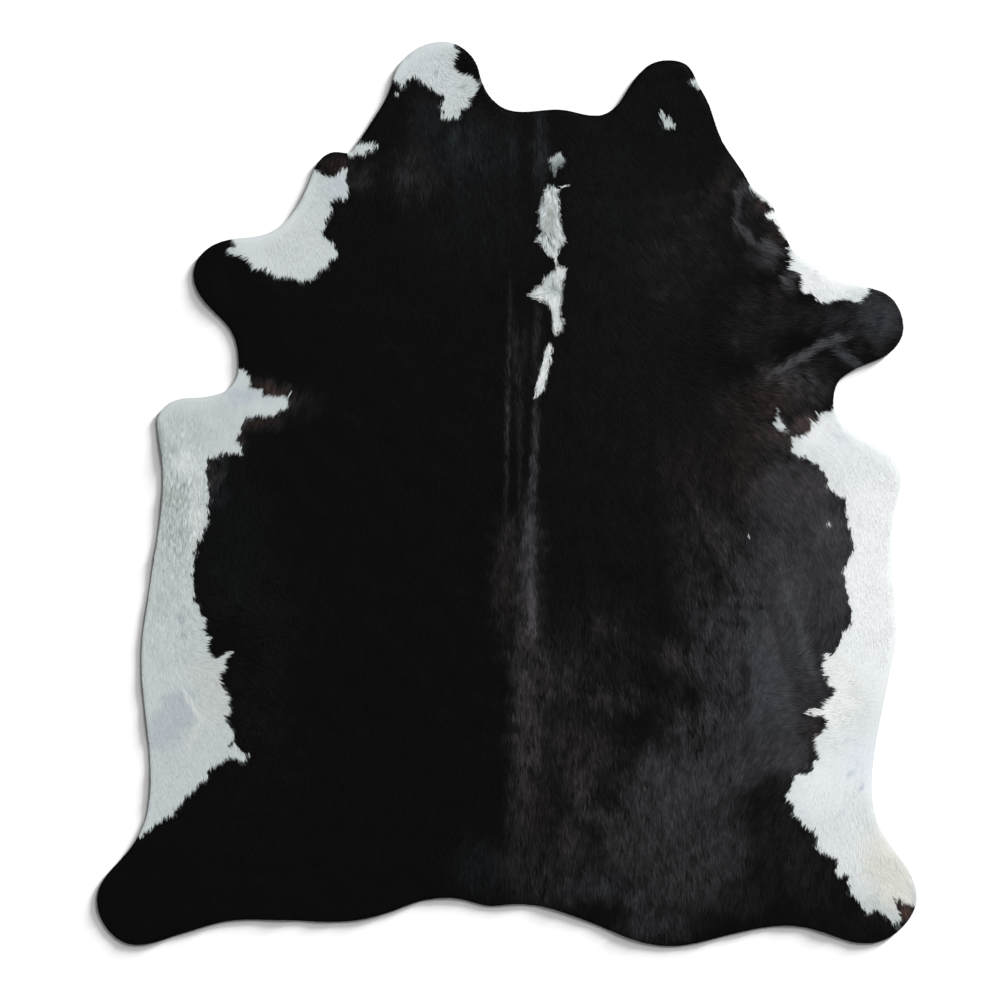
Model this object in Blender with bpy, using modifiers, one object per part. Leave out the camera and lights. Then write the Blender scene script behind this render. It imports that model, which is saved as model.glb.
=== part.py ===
"""A whole cowhide rug lying on the floor: one tanned skin with its hair left on.

The hide is one sheet. Its edge runs clockwise through eight stretches, from the neck round the
right legs and the rump to the left foreleg. The underside rests on z = 0 and lifts a few
millimetres under the low folds of the skin. Metres, +Z up, the neck towards +Y, hair side up.
"""

import math
from collections import namedtuple

import bpy
from mathutils import Vector
from mathutils.geometry import delaunay_2d_cdt, interpolate_bezier

MM = 0.001

# Driving sizes, in millimetres.
COAT_THICKNESS = 5.0      # skin of about 2 mm under a lying coat of about 3 mm
EDGE_THICKNESS = 2.6      # the cut edge, where the coat thins out over the skin
EDGE_SLOPE = 9.0          # how far in from the cut edge the coat is full
EDGE_STEP = 26.0          # length of one straight side of the cut edge, at most
EDGE_TURN = 9.0           # most that the edge turns from one side to the next, in degrees
SKIN_STEP = 58.0          # spacing of the skin's points where it lies flat
FOLD_STEP = 30.0          # spacing of its points along a fold

# The cut edge, in millimetres from the middle of the rug and in degrees. At each place the
# edge runs along its heading (0 is towards +X, 90 towards the neck). Between two places it
# is the smooth curve nearest to an arc.
Place = namedtuple("Place", "name across along heading")

NECK = (
    Place("left lobe, root", -381, 860, 56),
    Place("left lobe, outer side", -315, 961, 57),
    Place("left lobe, shoulder", -282, 1036, 76),
    Place("left lobe, top", -158, 1129, 0),
    Place("left lobe, inner side", -72, 1069, -66),
    Place("left lobe, foot", -64, 1039, -73),
    Place("dip, left", 10, 958, -14),
    Place("dip, middle", 130, 960, -1),
    Place("dip, right", 230, 945, 5),
    Place("right lobe, inner side", 295, 994, 60),
    Place("right lobe, brow", 348, 1064, 41),
    Place("right lobe, top", 405, 1083, 0),
    Place("right lobe, shoulder", 454, 1069, -40),
    Place("right lobe, cheek", 485, 1014, -57),
    Place("right lobe, outer side", 518, 941, -73),
    Place("right lobe, root", 552, 861, -55),
)

RIGHT_FORELEG = (
    Place("brisket, top", 608, 774, -64),
    Place("brisket, tuft", 655, 732, -42),
    Place("brisket, foot", 688, 666, -60),
    Place("leg, root", 722, 601, -42),
    Place("leg, upper side", 868, 524, -19),
    Place("toe, upper side", 935, 506, -20),
    Place("toe, end", 993, 416, -88),
    Place("toe, lower side", 955, 349, -144),
    Place("leg, lower side", 900, 324, -159),
    Place("armpit, top", 840, 290, -140),
    Place("armpit, deepest", 818, 229, -92),
)

RIGHT_FLANK = (
    Place("corner, root", 848, 165, -44),
    Place("corner, upper side", 922, 120, -26),
    Place("corner, end", 986, 39, -88),
    Place("corner, foot", 969, -54, -100),
    Place("belly, hollow", 962, -129, -90),
    Place("belly, widest", 974, -336, -90),
    Place("belly, foot", 950, -491, -101),
    Place("waist", 914, -734, -90),
)

RIGHT_HIND_LEG = (
    Place("thigh", 945, -856, -57),
    Place("shank", 992, -922, -54),
    Place("hock, end", 1026, -1009, -90),
    Place("hock, corner", 998, -1076, -130),
    Place("hock, lowest", 900, -1124, -180),
    Place("hock, inner side", 830, -1110, 159),
)

RUMP = (
    Place("right bay", 702, -1080, 180),
    Place("right swell, side", 552, -1104, -166),
    Place("right swell", 410, -1131, 180),
    Place("tail, right side", 265, -1094, 156),
    Place("tail, shelf", 135, -1044, 161),
    Place("tail, middle", 22, -1026, 180),
    Place("tail, nub", -45, -1030, 174),
    Place("tail, notch", -142, -1010, 180),
    Place("left swell, side", -260, -1034, -157),
    Place("left swell", -390, -1068, -174),
    Place("left bay", -565, -1066, 180),
    Place("left bay, end", -710, -1071, -168),
    Place("hock, inner side", -815, -1101, -163),
)

LEFT_HIND_LEG = (
    Place("hock, lowest", -922, -1128, 180),
    Place("hock, corner", -995, -1090, 128),
    Place("hock, end", -1022, -1016, 90),
    Place("shank", -988, -942, 48),
    Place("thigh", -920, -859, 60),
    Place("waist", -888, -696, 91),
)

LEFT_FLANK = (
    Place("belly, widest", -911, -404, 89),
    Place("belly, top", -890, -234, 82),
    Place("belly, hollow", -858, 71, 93),
    Place("corner, end", -872, 174, 92),
    Place("corner, upper side", -838, 228, 30),
    Place("corner, root", -765, 240, 3),
    Place("armpit, foot", -718, 249, 15),
    Place("armpit, deepest", -668, 321, 91),
)

LEFT_FORELEG = (
    Place("leg, lower side", -692, 414, 126),
    Place("toe, lower side", -748, 474, 131),
    Place("toe, end", -781, 544, 92),
    Place("toe, upper side", -730, 622, 27),
    Place("leg, upper side", -645, 640, 5),
    Place("leg, root", -568, 666, 37),
    Place("shoulder", -500, 759, 66),
    Place("shoulder lobe, foot", -480, 809, 67),
    Place("shoulder lobe, top", -438, 852, 18),
    Place("shoulder lobe, end", -400, 851, -7),
)

CUT_EDGE = (NECK + RIGHT_FORELEG + RIGHT_FLANK + RIGHT_HIND_LEG
            + RUMP + LEFT_HIND_LEG + LEFT_FLANK + LEFT_FORELEG)

# The low folds, in millimetres: each runs straight from one place to the other, falls away
# over its spread on both sides and at both ends, and lifts the skin by its height.
Fold = namedtuple("Fold", "name across along to_across to_along spread height")

FOLDS = (
    Fold("backbone, shoulders", 60, 620, -2, 60, 70, 4.0),
    Fold("backbone, loin", 72, 240, 52, -740, 75, 4.5),
    Fold("right brisket, pucker", 572, 775, 578, 655, 38, 4.0),
    Fold("right armpit, pucker", 590, 640, 700, 618, 38, 4.0),
    Fold("right foreleg, ridge", 640, 298, 850, 416, 60, 6.0),
    Fold("right ribs, upper", 480, 30, 562, -180, 65, 4.5),
    Fold("right ribs, lower", 668, -150, 738, -380, 65, 4.5),
    Fold("left flank, ripple", -815, 120, -795, -110, 40, 3.0),
    Fold("left flank, lower ripple", -782, -500, -790, -630, 40, 3.0),
)


def clear_scene():
    """Take out whatever the file opened with."""
    for leftover in list(bpy.data.objects):
        bpy.data.objects.remove(leftover, do_unlink=True)


def arc_handle(chord, turn):
    """Length of the Bezier handles that make the curve nearest to an arc of that turn."""
    if abs(turn) < math.radians(1.0):
        return chord / 3.0
    return chord * 2.0 / 3.0 * math.tan(turn / 4.0) / math.sin(turn / 2.0)


def cut_edge():
    """The cut edge as a closed ring of points, clockwise, centred on the origin."""
    ring = []
    for here, there in zip(CUT_EDGE, CUT_EDGE[1:] + CUT_EDGE[:1]):
        start = Vector((here.across, here.along, 0.0))
        end = Vector((there.across, there.along, 0.0))
        setting_out = math.radians(here.heading)
        arriving = math.radians(there.heading)
        turn = (arriving - setting_out + math.pi) % (2.0 * math.pi) - math.pi
        chord = (end - start).length
        handle = arc_handle(chord, turn)
        leave = start + handle * Vector((math.cos(setting_out), math.sin(setting_out), 0.0))
        reach = end - handle * Vector((math.cos(arriving), math.sin(arriving), 0.0))
        sides = math.ceil(max(chord / EDGE_STEP, abs(math.degrees(turn)) / EDGE_TURN))
        ring += interpolate_bezier(start, leave, reach, end, sides + 1)[:-1]
    middle = Vector(((min(p.x for p in ring) + max(p.x for p in ring)) / 2.0,
                     (min(p.y for p in ring) + max(p.y for p in ring)) / 2.0, 0.0))
    return [(p - middle).to_2d() for p in ring]


def moved_in(ring, distance):
    """The same ring moved in from a clockwise edge."""
    inner = []
    for before, here, after in zip(ring[-1:] + ring[:-1], ring, ring[1:] + ring[:1]):
        along = (after - before).normalized()
        inner.append(here + distance * Vector((along.y, -along.x)))
    return inner


def is_inside(point, ring):
    """Whether a point lies inside the ring, by counting the sides that it is left of."""
    crossings = 0
    for a, b in zip(ring, ring[1:] + ring[:1]):
        if (a.y > point.y) != (b.y > point.y):
            crossings += point.x < a.x + (b.x - a.x) * (point.y - a.y) / (b.y - a.y)
    return crossings % 2 == 1


def fold_place(fold, point):
    """How far a point is along a fold's line and to its side, and the line's length."""
    start = Vector((fold.across, fold.along))
    line = Vector((fold.to_across, fold.to_along)) - start
    direction = line.normalized()
    offset = point - start
    side = offset.x * direction.y - offset.y * direction.x
    return offset.dot(direction), side, line.length


def fall_off(distance, spread):
    """1 on the crest, falling smoothly to 0 at the spread."""
    if distance >= spread:
        return 0.0
    return math.cos(0.5 * math.pi * distance / spread) ** 2


def skin_lift(point):
    """Height of the skin's underside above the floor."""
    lift = 0.0
    for fold in FOLDS:
        along, side, length = fold_place(fold, point)
        past_end = max(-along, along - length, 0.0)
        bump = fall_off(abs(side), fold.spread) * fall_off(past_end, fold.spread)
        lift = max(lift, fold.height * bump)
    return lift


def fold_points():
    """Points in rows along each fold: on its crest, halfway down and at its foot."""
    points = []
    for fold in FOLDS:
        start = Vector((fold.across, fold.along))
        line = Vector((fold.to_across, fold.to_along)) - start
        direction = line.normalized()
        sideways = Vector((direction.y, -direction.x))
        reach = line.length + 2.0 * fold.spread
        steps = round(reach / FOLD_STEP)
        for step in range(steps + 1):
            on_line = start + direction * (reach * step / steps - fold.spread)
            for share in (-1.0, -0.5, 0.0, 0.5, 1.0):
                points.append(on_line + sideways * share * fold.spread)
    return points


def near_fold(point):
    """Whether a point lies in the stretch that some fold's own rows cover."""
    for fold in FOLDS:
        along, side, length = fold_place(fold, point)
        room = fold.spread + 0.4 * SKIN_STEP
        if abs(side) < room and -room < along < length + room:
            return True
    return False


def flat_points(ring):
    """An even triangular net of points over the flat skin."""
    points = []
    row_step = SKIN_STEP * math.sqrt(0.75)
    half_long = max(abs(p.y) for p in ring)
    half_wide = max(abs(p.x) for p in ring)
    rows = math.ceil(half_long / row_step)
    columns = math.ceil(half_wide / SKIN_STEP)
    for row in range(-rows, rows + 1):
        shift = 0.5 * (row % 2)
        for column in range(-columns, columns + 1):
            point = Vector(((column + shift) * SKIN_STEP, row * row_step))
            if not near_fold(point):
                points.append(point)
    return points


def thinned(points, gap):
    """The points without those that lie closer than the gap to an earlier one."""
    kept = []
    for point in points:
        if all((point - other).length > gap for other in kept):
            kept.append(point)
    return kept


def make_hide(collection):
    """The hide: its underside as an open sheet, thickened upwards, thinner at the cut edge."""
    edge = cut_edge()
    full_coat = moved_in(edge, EDGE_SLOPE)
    net_limit = moved_in(edge, EDGE_SLOPE + 0.45 * EDGE_STEP)
    loose = thinned(fold_points(), 0.4 * FOLD_STEP) + flat_points(edge)
    inside = [point for point in loose if is_inside(point, net_limit)]

    count = len(edge)
    points = edge + full_coat + inside
    rings = [(i, (i + 1) % count) for i in range(count)]
    rings += [(count + a, count + b) for a, b in rings]
    inner_only = 1
    flat, _, triangles, _, _, _ = delaunay_2d_cdt(points, rings, [], inner_only, 1e-4)

    mesh = bpy.data.meshes.new("hide")
    underside = [(p.x * MM, p.y * MM, skin_lift(p) * MM) for p in flat]
    mesh.from_pydata(underside, [], triangles)
    hide = bpy.data.objects.new("hide", mesh)
    collection.objects.link(hide)

    cut = hide.vertex_groups.new(name="full coat")
    cut.add(list(range(count)), EDGE_THICKNESS / COAT_THICKNESS, "REPLACE")
    cut.add(list(range(count, len(flat))), 1.0, "REPLACE")
    coat = hide.modifiers.new("Coat", "SOLIDIFY")
    coat.thickness = COAT_THICKNESS * MM
    coat.offset = 1.0
    coat.vertex_group = cut.name
    mesh.materials.append(hair_on_hide())
    return hide


def hair_on_hide():
    """Black and white cowhide seen from a step away: nearly black, with a soft sheen."""
    material = bpy.data.materials.new("hair-on hide")
    material.use_nodes = True
    shader = material.node_tree.nodes["Principled BSDF"]
    shader.inputs["Base Color"].default_value = (0.012, 0.011, 0.011, 1.0)
    shader.inputs["Roughness"].default_value = 0.62
    shader.inputs["Metallic"].default_value = 0.0
    return material


clear_scene()
rug = bpy.data.collections.new("Cowhide rug")
bpy.context.scene.collection.children.link(rug)
make_hide(rug)
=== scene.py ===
"""A whole black and white cowhide rug with its hair on, lying flat, seen from straight above.

The rug is one tanned skin cut once round its edge. Its coat is some 210,000 short locks of hair that lie
flat on it, in the direction in which they grew. Metres; +Y runs from the rump to the neck, +Z up.
"""

import math
from collections import namedtuple

import bmesh
import bpy
import numpy as np
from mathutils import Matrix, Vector
from mathutils.bvhtree import BVHTree
from mathutils.geometry import delaunay_2d_cdt
from mathutils.kdtree import KDTree


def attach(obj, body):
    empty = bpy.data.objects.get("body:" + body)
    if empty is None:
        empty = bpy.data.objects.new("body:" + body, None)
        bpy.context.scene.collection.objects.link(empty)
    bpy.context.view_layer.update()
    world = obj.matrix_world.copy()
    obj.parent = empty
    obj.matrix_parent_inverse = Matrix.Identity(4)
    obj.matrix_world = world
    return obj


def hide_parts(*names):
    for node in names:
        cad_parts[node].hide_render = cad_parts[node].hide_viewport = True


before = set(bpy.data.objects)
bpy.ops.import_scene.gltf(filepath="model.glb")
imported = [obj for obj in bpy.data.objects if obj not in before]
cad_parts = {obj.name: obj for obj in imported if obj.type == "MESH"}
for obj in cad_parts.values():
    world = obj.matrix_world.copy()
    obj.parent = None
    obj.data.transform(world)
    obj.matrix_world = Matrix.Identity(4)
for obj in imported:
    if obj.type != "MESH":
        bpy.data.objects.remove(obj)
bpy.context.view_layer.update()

# ---------------------------------------------------------------------------------------------------------
# The skin: one cowhide, tanned, shaved to an even thickness and cut once round its edge with a knife.
# It is the lower 2 mm of the rug. Its flesh side and its cut edge are pale suede, and its hair side is the
# grain that the coat grows from. It follows the low folds of the frame's hide.

MM = 0.001
SKIN_THICKNESS = 2.0          # mm
RIPPLE = 0.9                  # mm, how far the skin lifts off the floor between its folds
RIPPLE_WAVE = 120.0           # mm, from one ripple to the next
NET_STEP = 14.0               # mm between the net's points
NET_EASINGS = 8               # rounds that even out the net's heights
WELD = 0.02                   # mm: corners of the frame's mesh that are nearer than this are one
SEARCH_FROM = 3.0             # mm up, where the search for the frame's underside starts
BLOTCH = 70.0                 # mm from one blotch of the suede to the next
NAP = 1.2                     # mm: the suede's nap, drawn ten times as coarse as it is so that it shows


def paint(colour):
    """A colour given as sRGB hex, as linear RGBA."""
    parts = [int(colour[i:i + 2], 16) / 255 for i in (1, 3, 5)]
    return [c / 12.92 if c < 0.04045 else ((c + 0.055) / 1.055) ** 2.4 for c in parts] + [1.0]


def add(tree, kind, inputs=(), **settings):
    """Adds a node with its settings. inputs pairs a socket with a value, or with the output that feeds it."""
    node = tree.nodes.new(kind)
    for name, value in settings.items():
        setattr(node, name, value)
    for socket, value in dict(inputs).items():
        if isinstance(value, bpy.types.NodeSocket):
            tree.links.new(value, node.inputs[socket])
        else:
            node.inputs[socket].default_value = value
    return node


def swell(places, wave, seed, waves=14):
    """A smooth random height, mostly from -1 to 1, at each place. Its swells are about one wave apart."""
    draw = np.random.default_rng(seed)
    turn = draw.uniform(0, 2 * np.pi, waves)
    start = draw.uniform(0, 2 * np.pi, waves)
    pace = 2 * np.pi / wave * draw.uniform(0.6, 1.5, waves)
    phase = places[:, :1] * (pace * np.cos(turn)) + places[:, 1:2] * (pace * np.sin(turn)) + start
    return np.clip(np.sin(phase).sum(axis=1) / math.sqrt(waves), -1.5, 1.5)


def signed_gap(places, edge):
    """How far each place is inside the loop, in mm. Outside it is negative, and far away -1000."""
    loop = np.array(edge, float)
    margin = 40.0
    near = np.all((places > loop.min(0) - margin) & (places < loop.max(0) + margin), axis=1)
    spots = places[near]
    least = np.full(len(spots), 1e9)
    inside = np.zeros(len(spots), bool)
    for start, end in zip(loop, np.roll(loop, -1, axis=0)):
        run = end - start
        share = np.clip((spots - start) @ run / (run @ run), 0, 1)
        least = np.minimum(least, np.linalg.norm(spots - start - share[:, None] * run, axis=1))
        if run[1]:
            meets = start[0] + (spots[:, 1] - start[1]) * run[0] / run[1]
            crosses = (start[1] > spots[:, 1]) != (end[1] > spots[:, 1])
            inside ^= crosses & (spots[:, 0] < meets)
    gap = np.full(len(places), -1000.0)
    gap[near] = np.where(inside, least, -least)
    return gap


def skin_net():
    """The frame's underside as an open net of even triangles that look up, in a new object."""
    under = bmesh.new()
    under.from_mesh(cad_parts["hide"].data)
    bmesh.ops.remove_doubles(under, verts=under.verts, dist=WELD * MM)
    under.normal_update()
    upper = [face for face in under.faces if face.normal.z > -0.5]
    bmesh.ops.delete(under, geom=upper, context="FACES")
    link = next(edge for edge in under.edges if edge.is_boundary)
    start = corner = link.verts[0]
    outline = []
    while not outline or corner is not start:
        outline.append(corner.co.xy / MM)
        corner = link.other_vert(corner)
        link = next(edge for edge in corner.link_edges if edge.is_boundary and edge is not link)
    outline = np.array(outline)
    # Each round adds a point midway along every side, on the smooth curve through the four nearest.
    for _ in range(2):
        ends = outline + np.roll(outline, -1, axis=0)
        beyond = np.roll(outline, 1, axis=0) + np.roll(outline, -2, axis=0)
        outline = np.stack((outline, (9 * ends - beyond) / 16), axis=1).reshape(-1, 2)
    low, high = outline.min(0), outline.max(0)
    across, along = np.meshgrid(np.arange(low[0], high[0], NET_STEP),
                                np.arange(low[1], high[1], NET_STEP * math.sqrt(3) / 2))
    across[1::2] += NET_STEP / 2
    inner = np.column_stack((across.ravel(), along.ravel()))
    inner = inner[signed_gap(inner, outline) > 0.5 * NET_STEP]
    points = [Vector(place) for place in np.vstack((outline, inner))]
    sides = [(index, (index + 1) % len(outline)) for index in range(len(outline))]
    points, _, faces, _, _, _ = delaunay_2d_cdt(points, sides, [], 1, 1e-4)
    shape = BVHTree.FromBMesh(under)
    under.free()
    places = []
    for point in points:
        spot, _, _, _ = shape.find_nearest((point.x * MM, point.y * MM, SEARCH_FROM * MM))
        places.append((point.x * MM, point.y * MM, spot.z))
    net = bmesh.new()
    for place in places:
        net.verts.new(place)
    net.verts.ensure_lookup_table()
    for face in faces:
        net.faces.new([net.verts[index] for index in face])
    for _ in range(NET_EASINGS):
        bmesh.ops.smooth_vert(net, verts=net.verts, factor=0.5, use_axis_z=True)
    mesh = bpy.data.meshes.new("skin")
    net.to_mesh(mesh)
    net.free()
    made = bpy.data.objects.new("skin", mesh)
    bpy.context.scene.collection.objects.link(made)
    return made


def plain_mesh(made, name):
    """made's evaluated mesh as a new object. made is removed."""
    evaluated = made.evaluated_get(bpy.context.evaluated_depsgraph_get())
    mesh = bpy.data.meshes.new_from_object(evaluated)
    bpy.data.objects.remove(made)
    mesh.name = name
    plain = bpy.data.objects.new(name, mesh)
    bpy.context.scene.collection.objects.link(plain)
    return plain


def places_of(mesh):
    """The mesh's points as an array, in mm."""
    points = np.zeros(len(mesh.vertices) * 3)
    mesh.vertices.foreach_get("co", points)
    return points.reshape(-1, 3) / MM


def rim_of(mesh):
    """The places along an open net's edge, in mm, to be searched for the nearest."""
    net = bmesh.new()
    net.from_mesh(mesh)
    places = [vert.co / MM for vert in net.verts if vert.is_boundary]
    net.free()
    tree = KDTree(len(places))
    for index, place in enumerate(places):
        tree.insert((place.x, place.y, 0), index)
    tree.balance()
    return tree


net = skin_net()
rippled = places_of(net.data)
rippled[:, 2] += RIPPLE * np.clip(0.5 + 0.6 * swell(rippled, RIPPLE_WAVE, seed=3), 0, 1)
rippled[:, 2] = np.maximum(rippled[:, 2], 0)
net.data.vertices.foreach_set("co", (rippled * MM).ravel())
net.data.update()
rim = rim_of(net.data)
thick = net.modifiers.new("Skin thickness", "SOLIDIFY")
thick.thickness = SKIN_THICKNESS * MM
thick.offset = 1
skin = plain_mesh(net, "skin")
skin.data.shade_smooth()

# Suede is the skin's flesh side, ground with an emery wheel: a dull, pale, slightly blotchy nap.
SUEDE = bpy.data.materials.new("ground suede flesh side")
SUEDE.use_nodes = True
tree = SUEDE.node_tree
suede = tree.nodes["Principled BSDF"]
spot = add(tree, "ShaderNodeTexCoord").outputs["Object"]
blotch = add(tree, "ShaderNodeTexNoise", {"Vector": spot, "Scale": 1 / (BLOTCH * MM), "Detail": 6.0,
                                          "Roughness": 0.6})
nap = add(tree, "ShaderNodeTexNoise", {"Vector": spot, "Scale": 1 / (NAP * MM), "Detail": 3.0})
shades = add(tree, "ShaderNodeValToRGB", {"Fac": blotch.outputs["Fac"]})
shades.color_ramp.elements[0].position = 0.3
shades.color_ramp.elements[0].color = paint("#9c8f7a")
shades.color_ramp.elements[1].position = 0.7
shades.color_ramp.elements[1].color = paint("#c9c0ad")
fibre = add(tree, "ShaderNodeMapRange", {"Value": nap.outputs["Fac"], "To Min": 0.82, "To Max": 1.12})
colour = add(tree, "ShaderNodeVectorMath", {0: shades.outputs["Color"], 1: fibre.outputs["Result"]},
             operation="MULTIPLY")
rough = add(tree, "ShaderNodeMapRange", {"Value": nap.outputs["Fac"], "To Min": 0.82, "To Max": 0.96})
raised = add(tree, "ShaderNodeBump", {"Height": nap.outputs["Fac"], "Strength": 0.5, "Distance": 0.4 * MM})
tree.links.new(colour.outputs["Vector"], suede.inputs["Base Color"])
tree.links.new(rough.outputs["Result"], suede.inputs["Roughness"])
tree.links.new(raised.outputs["Normal"], suede.inputs["Normal"])
suede.inputs["Specular IOR Level"].default_value = 0.25
suede.inputs["Sheen Weight"].default_value = 0.25

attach(skin, "root")
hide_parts("hide")

# ---------------------------------------------------------------------------------------------------------
# The coat: short sleek hair, black with white on the neck, shoulders, flanks and spine. Each lock is black
# or white from root to tip, so the markings' edges are torn into tufts. The hair lies from the neck to the
# rump, away from the spine and out along the legs. This section says what it is like at any place.

Marking = namedtuple("Marking", "name edge")

# Where the hair is white. edge is the loop round it in mm, across and along the hide. Where its name starts
# with dark, the hair in the loop is dark again. Loops at the rim run on past the cut edge.
MARKINGS = (
    Marking("left neck lobe", (
        (-310, 1050), (-284, 1035), (-261, 1020), (-242, 1037), (-217, 1041), (-210, 1022), (-192, 1007),
        (-167, 1002), (-152, 990), (-165, 965), (-161, 935), (-127, 937), (-122, 952), (-100, 966),
        (-87, 985), (-67, 1027), (-80, 1035), (-130, 1062), (-125, 1092), (-130, 1135), (-192, 1150),
        (-267, 1125))),
    Marking("left neck sliver", (
        (-364, 880), (-334, 878), (-314, 866), (-337, 861), (-344, 853), (-390, 846), (-407, 860))),
    Marking("left shoulder", (
        (-494, 812), (-464, 797), (-424, 791), (-417, 805), (-390, 821), (-400, 802), (-407, 785),
        (-391, 766), (-402, 740), (-432, 737), (-442, 722), (-442, 702), (-460, 658), (-460, 640),
        (-427, 622), (-432, 610), (-422, 595), (-450, 570), (-474, 545), (-497, 532), (-523, 532),
        (-544, 542), (-572, 537), (-604, 560), (-634, 560), (-642, 577), (-704, 612), (-680, 615),
        (-680, 628), (-697, 645), (-630, 670), (-554, 722), (-530, 785))),
    Marking("left flank", (
        (-677, 315), (-657, 312), (-641, 297), (-641, 260), (-610, 267), (-608, 245), (-548, 242),
        (-551, 207), (-602, 191), (-640, 195), (-667, 165), (-672, 135), (-662, 98), (-704, 102),
        (-747, 85), (-754, 60), (-750, 35), (-744, -53), (-762, -108), (-782, -145), (-787, -195),
        (-784, -255), (-764, -295), (-750, -323), (-760, -343), (-740, -360), (-747, -395), (-722, -413),
        (-680, -391), (-707, -433), (-712, -458), (-717, -478), (-692, -508), (-687, -535), (-703, -565),
        (-677, -598), (-690, -628), (-644, -656), (-667, -673), (-692, -658), (-740, -688), (-750, -710),
        (-807, -763), (-822, -790), (-867, -820), (-920, -860), (-947, -765), (-937, -365), (-897, 185),
        (-854, 240), (-730, 255))),
    Marking("right neck notch", ((478, 1042), (463, 1035), (458, 1030), (483, 1010))),
    Marking("right neck spot", (
        (383, 967), (388, 952), (398, 941), (410, 940), (420, 912), (396, 920), (390, 935), (380, 947))),
    Marking("right brisket's upper notch", (
        (608, 777), (614, 753), (628, 742), (642, 738), (653, 728), (663, 714), (683, 720), (658, 760),
        (623, 785))),
    Marking("right brisket notch", (
        (666, 709), (651, 704), (644, 699), (651, 691), (658, 687), (666, 685), (671, 675), (677, 664),
        (686, 654), (698, 635), (723, 645), (696, 697))),
    Marking("right shoulder", (
        (700, 617), (710, 592), (708, 562), (733, 555), (739, 502), (760, 502), (790, 475), (826, 486),
        (883, 482), (908, 502), (906, 527), (820, 560), (746, 597))),
    Marking("right flank", (
        (828, 220), (798, 205), (760, 175), (758, 157), (740, 143), (716, 141), (709, 102), (758, 87),
        (783, 60), (828, -8), (846, -10), (853, -65), (868, -123), (860, -160), (838, -193), (853, -265),
        (866, -298), (863, -320), (836, -360), (816, -405), (796, -403), (788, -428), (803, -473),
        (820, -493), (783, -535), (740, -546), (800, -563), (798, -583), (768, -615), (776, -653),
        (763, -693), (733, -708), (716, -698), (713, -733), (696, -753), (718, -780), (720, -800),
        (740, -830), (770, -845), (778, -890), (816, -908), (826, -930), (823, -953), (853, -955),
        (858, -995), (906, -1058), (913, -1040), (948, -1050), (978, -1090), (1046, -1015), (946, -765),
        (996, -265), (1003, 35), (953, 135), (858, 172))),
    Marking("dark patch over the hock", (
        (966, -1014), (974, -1016), (990, -1025), (1008, -1032), (1030, -1040), (1012, -1068),
        (998, -1078), (992, -1066), (985, -1052), (979, -1036))),
    Marking("dark patch at the hock's end", ((972, -1074), (986, -1068), (994, -1078), (986, -1095))),
    Marking("blaze spade", (
        (131, 860), (149, 832), (139, 820), (126, 814), (118, 790), (111, 812), (110, 824), (102, 837),
        (118, 847))),
    Marking("blaze hook", ((121, 757), (132, 768), (153, 776), (152, 770), (139, 761), (127, 750))),
    Marking("blaze", (
        (110, 776), (127, 770), (128, 747), (130, 725), (132, 700), (136, 672), (140, 654), (149, 630),
        (133, 611), (126, 591), (121, 575), (115, 586), (108, 594), (98, 601), (92, 615), (80, 625),
        (70, 634), (86, 652), (78, 671), (80, 685), (78, 709), (88, 731), (87, 747), (95, 766))),
    Marking("blaze below", (
        (125, 572), (152, 564), (145, 540), (142, 514), (140, 487), (133, 464), (135, 450), (144, 424),
        (141, 410), (133, 401), (117, 397), (112, 411), (109, 437), (108, 464), (99, 475), (85, 482),
        (66, 489), (50, 497), (66, 510), (85, 525), (97, 546), (117, 556))),
    Marking("blaze tail", (
        (110, 385), (116, 366), (114, 342), (109, 320), (103, 297), (97, 276), (93, 257), (69, 238),
        (72, 266), (77, 298), (85, 322), (90, 350), (94, 367))),
    Marking("right armpit spot", (
        (654, 184), (668, 178), (677, 194), (684, 194), (688, 176), (697, 160), (689, 152), (678, 166))),
    Marking("speck over the armpit spot", ((676, 214), (683, 214), (680, 206))),
    Marking("speck of the right flank", ((598, -99), (612, -101), (606, -114))),
    Marking("speck of the right flank's rim", ((802, -73), (808, -74), (806, -80), (802, -79))),
    Marking("speck of the left neck", ((-279, 998), (-272, 997), (-275, 992))),
)
PATCHES = [marking for marking in MARKINGS if not marking.name.startswith("blaze")]
BLAZE = [marking for marking in MARKINGS if marking.name.startswith("blaze")]
BLAZE_BED = 0.8               # how white the short coat under the blaze's long hair is
BLAZE_BED_GAP = 5.0           # mm inside the blaze's edge, where that bed begins
BLAZE_TEAR = 0.4              # how far its edge wanders, as a share of the other markings'
TORN = ((30.0, 3.5), (12.0, 2.0))    # mm: a marking's edge wanders in swells of this wave and depth

Comb = namedtuple("Comb", "name across along heading")

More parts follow.
